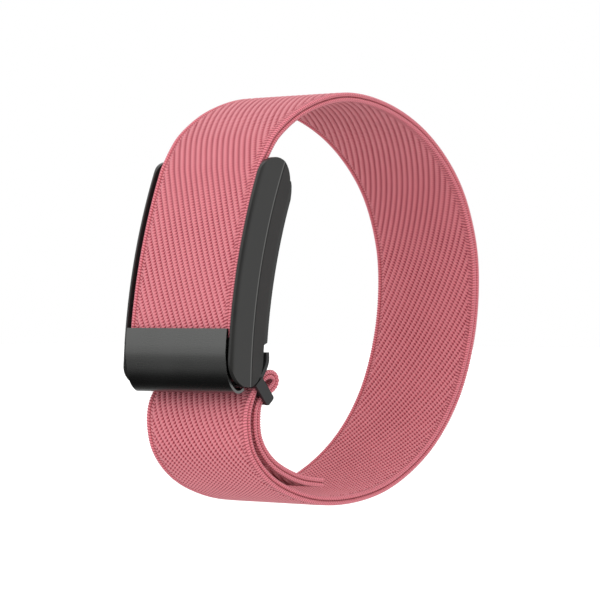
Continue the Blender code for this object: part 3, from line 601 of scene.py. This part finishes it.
def tube_faces(rings, sides, outward):
    index = np.arange(rings * sides).reshape(rings, sides)
    near = index[:-1]
    far = index[1:]
    corners = [near, np.roll(near, -1, axis=1), np.roll(far, -1, axis=1), far]
    if outward:
        corners = corners[::-1]
    faces = np.stack(corners, -1).reshape(-1, 4).tolist()
    ends = [index[0].tolist(), index[-1][::-1].tolist()]
    if outward:
        ends = [end[::-1] for end in ends]
    return faces + ends


def make_strap(materials):
    route = Route()
    inside_slot = route.nearest(frame_side(SLOT_ONE, 0.0))
    lengths = (("strap_loop", 0.0, inside_slot), ("strap_tail", inside_slot, route.length))
    pieces = [make_band(route, name, start, end, materials["knit"]) for name, start, end in lengths]
    for side, side_name in ((1, "near"), (-1, "far")):
        for face, face_name in ((1, "outer"), (-1, "inner")):
            name = f"strap_cord_{side_name}_{face_name}"
            make_cord(route, name, side, face, 0.0, route.length, materials["cord"])
    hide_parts("strap")


# ---------------------------------------------------------------- shells of the pod and the clasp

HARD_EDGE = 28.0             # edges that turn more than this are rounded
FLAT_EDGE = 0.4              # faces that turn less than this are joined
SAME_PLACE = 0.002           # points closer than this are joined
BEVEL_STEPS = 4

# Node, new piece, body, slot, small and large rounding, and how far out the large one starts.
SHELLS = (("pod_outer_cover", "pod_outer_shell", "tracker", "pod_plastic", 0.15, 0.75, 13.55),
          ("pod_skin_cover", "pod_skin_shell", "tracker", "pod_plastic", 0.12, 0.60, 12.70),
          ("clasp_frame", "clasp_slider", "tracker", "frame_plastic", 0.10, 0.20, 13.0),
          ("clasp_cover", "clasp_lid", "cover", "cover_metal", 0.10, 0.16, 12.2))


def refine(node, name, body, material, small, large, outer):
    """A copy of a CAD shell, its hard edges rounded a little and its outer side edges more."""
    build = bmesh.new()
    build.from_mesh(frame["nodes"][node].data)
    bmesh.ops.remove_doubles(build, verts=build.verts, dist=SAME_PLACE * MM)
    bmesh.ops.dissolve_limit(build, angle_limit=radians(FLAT_EDGE), verts=build.verts,
                             edges=build.edges)
    weights = build.edges.layers.float.new("bevel_weight_edge")
    for edge in build.edges:
        if edge.is_manifold and edge.calc_face_angle() > radians(HARD_EDGE):
            on_side = min(abs(vert.co.x) for vert in edge.verts) > outer * MM
            edge[weights] = 1.0 if on_side else small / large
    mesh = bpy.data.meshes.new(name)
    build.to_mesh(mesh)
    build.free()
    mesh.shade_smooth()
    piece = bpy.data.objects.new(name, mesh)
    bpy.context.scene.collection.objects.link(piece)
    bevel = piece.modifiers.new("rounded", "BEVEL")
    bevel.width = large * MM
    bevel.segments = BEVEL_STEPS
    bevel.limit_method = "WEIGHT"
    bevel.harden_normals = True
    piece.modifiers.new("normals", "WEIGHTED_NORMAL").keep_sharp = True
    put(piece, body, material)
    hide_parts(node)


def make_shells(materials):
    for node, name, body, slot, small, large, outer in SHELLS:
        refine(node, name, body, materials[slot], small, large, outer)


def finish_cad_pieces(materials):
    """Each CAD piece gets its finished material, also the ones that a new piece stands in for."""
    for subpart in frame["record"]["subparts"]:
        node = frame["nodes"][subpart["node"]]
        node.data.materials.clear()
        node.data.materials.append(materials[subpart["material_slot"]])


# ---------------------------------------------------------------- floor, light and camera

VIEW_AZIMUTH = 41.0
VIEW_ELEVATION = -0.2
VIEW_DISTANCE_M = 0.55
VIEW_LENS = 175.0
SENSOR_WIDTH = 36.0

FLOOR_DROP_M = 0.10          # the floor lies this far below the object
FLOOR_HALF_M = 8.0
FLOOR_TONES = ((0.92, 0.92, 0.92), (0.95, 0.95, 0.95))
FLOOR_GLOW = 0.35

# Middle direction, inner and outer angle from it, and the share of light left in its middle.
DARK_SIDES = (((-0.66, -0.37, -0.66), 8.0, 62.0, 0.03),     # below and left of the viewer
              ((0.80, -0.60, 0.0), 20.0, 58.0, 0.12),      # behind the viewer
              ((-0.10, 0.99, 0.0), 16.0, 44.0, 0.25))      # beyond the object


def back_from(azimuth, elevation):
    """The direction from the object towards a viewer."""
    turn = radians(azimuth)
    lift = radians(elevation)
    return Vector((sin(turn) * cos(lift), -cos(turn) * cos(lift), sin(lift)))


def make_camera():
    data = bpy.data.cameras.new("camera")
    data.lens = VIEW_LENS
    data.sensor_width = SENSOR_WIDTH
    data.clip_start = 0.01
    data.clip_end = 100.0
    camera = bpy.data.objects.new("camera", data)
    back = back_from(VIEW_AZIMUTH, VIEW_ELEVATION)
    camera.location = back * VIEW_DISTANCE_M
    camera.rotation_euler = (-back).to_track_quat("-Z", "Y").to_euler()
    bpy.context.scene.collection.objects.link(camera)
    bpy.context.scene.camera = camera


def make_floor():
    """A pale floor that shiny surfaces don't show."""
    size = FLOOR_HALF_M
    height = cad_box[0].z - FLOOR_DROP_M
    corners = np.array([(-size, -size, height), (size, -size, height), (size, size, height),
                        (-size, size, height)])
    floor = piece_from("floor", corners, [(0, 1, 2, 3)])
    made = Shader("floor", FLOOR_TONES[0], 0.9)
    made.set("Base Color", made.mix(made.noise(40.0), *FLOOR_TONES))
    made.set("Emission Color", (1.0, 1.0, 1.0, 1.0))
    made.set("Emission Strength", FLOOR_GLOW)
    floor.data.materials.append(made.material)
    floor.visible_glossy = False
    floor.visible_diffuse = False


def make_light(name, azimuth, elevation, distance, size, power):
    """A square light that faces the object; its lengths are metres, its power watts."""
    data = bpy.data.lights.new(name, "AREA")
    data.size = size
    data.energy = power
    light = bpy.data.objects.new(name, data)
    back = back_from(azimuth, elevation)
    light.location = back * distance
    light.rotation_euler = (-back).to_track_quat("-Z", "Y").to_euler()
    bpy.context.scene.collection.objects.link(light)


def make_studio():
    """An even white tent, with a few dark sides that only show in shiny surfaces."""
    world = bpy.data.worlds.new("studio")
    world.use_nodes = True
    nodes = world.node_tree.nodes
    links = world.node_tree.links
    background = nodes["Background"]
    background.inputs["Color"].default_value = (1.0, 1.0, 1.0, 1.0)
    direction = nodes.new("ShaderNodeTexCoord").outputs["Generated"]
    shiny = nodes.new("ShaderNodeMix")
    shiny.inputs[2].default_value = 1.0
    shiny.inputs[3].default_value = 1.0
    for middle, inner, outer, light in DARK_SIDES:
        toward = nodes.new("ShaderNodeVectorMath")
        toward.operation = "DOT_PRODUCT"
        toward.inputs[1].default_value = Vector(middle).normalized()
        links.new(direction, toward.inputs[0])
        side = nodes.new("ShaderNodeMapRange")
        side.interpolation_type = "SMOOTHSTEP"
        for name, value in (("From Min", cos(radians(outer))), ("From Max", cos(radians(inner))),
                            ("To Min", 1.0), ("To Max", light)):
            side.inputs[name].default_value = value
        links.new(toward.outputs["Value"], side.inputs["Value"])
        darker = nodes.new("ShaderNodeMath")
        darker.operation = "MULTIPLY"
        links.new(side.outputs[0], darker.inputs[0])
        if shiny.inputs[3].is_linked:
            links.new(shiny.inputs[3].links[0].from_socket, darker.inputs[1])
        else:
            darker.inputs[1].default_value = 1.0
        links.new(darker.outputs[0], shiny.inputs[3])
    links.new(nodes.new("ShaderNodeLightPath").outputs["Is Glossy Ray"], shiny.inputs["Factor"])
    links.new(shiny.outputs[0], background.inputs["Strength"])
    return world


def make_stage():
    scene = bpy.context.scene
    scene.view_settings.view_transform = "Standard"
    scene.world = make_studio()
    make_floor()
    make_light("key", azimuth=5.0, elevation=50.0, distance=0.9, size=0.5, power=1.2)
    make_camera()


# ---------------------------------------------------------------- all together

make_stage()
all_materials = make_materials()
finish_cad_pieces(all_materials)
make_strap(all_materials)
make_shells(all_materials)
